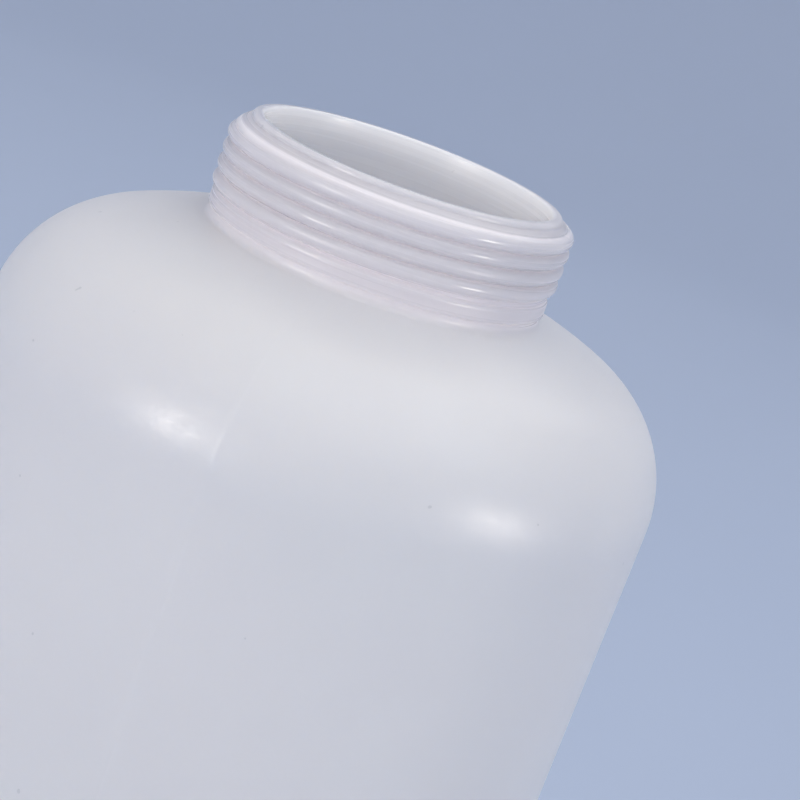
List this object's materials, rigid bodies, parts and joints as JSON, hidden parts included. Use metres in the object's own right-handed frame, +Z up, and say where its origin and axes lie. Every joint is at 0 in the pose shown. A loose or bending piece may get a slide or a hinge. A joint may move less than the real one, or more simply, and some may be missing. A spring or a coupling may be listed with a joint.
{
  "type": "wide-mouth reagent bottle",
  "caption": "Round wide-mouth plastic reagent bottle with a sloping shoulder and threaded neck, its ribbed screw cap, liner and push-in plug lying beside it.",
  "frame": {"origin": "centre of the bottle's foot, on the surface that it stands on", "axes": "+Z up along the bottle's axis, towards the mouth; +X from the bottle to its closure; +Y completes a right-handed frame, and the mould's parting lines are at +Y and -Y"},
  "size_m": [0.2865, 0.121, 0.23],
  "materials": {
    "bottle_plastic": "satin",
    "plug_plastic": "satin",
    "liner_foam": "matte",
    "cap_plastic": "satin"
  },
  "bodies": {
    "bottle": {"bottle": "bottle_plastic"},
    "inner_plug": {"inner_plug": "plug_plastic"},
    "liner": {"liner": "liner_foam"},
    "cap": {"cap": "cap_plastic"}
  },
  "joints": [
    {"name": "closure_swing", "type": "hinge", "parent": "bottle", "child": "inner_plug", "pos_m": [0.207, 0, 0.242], "axis": [0, -1, 0], "range_deg": [0, 270]},
    {"name": "cap_advance", "type": "slide", "parent": "inner_plug", "child": "liner", "axis": [1, 0, 0], "range_m": [0, 0.0139]},
    {"name": "cap_turn", "type": "hinge", "parent": "liner", "child": "cap", "pos_m": [0.2, 0, 0.035], "axis": [1, 0, 0], "range_deg": [0, 1800]}
  ],
  "couplings": [
    {"joint": "cap_advance", "follows": "cap_turn", "m_per_rad": 0.00044245}
  ]
}
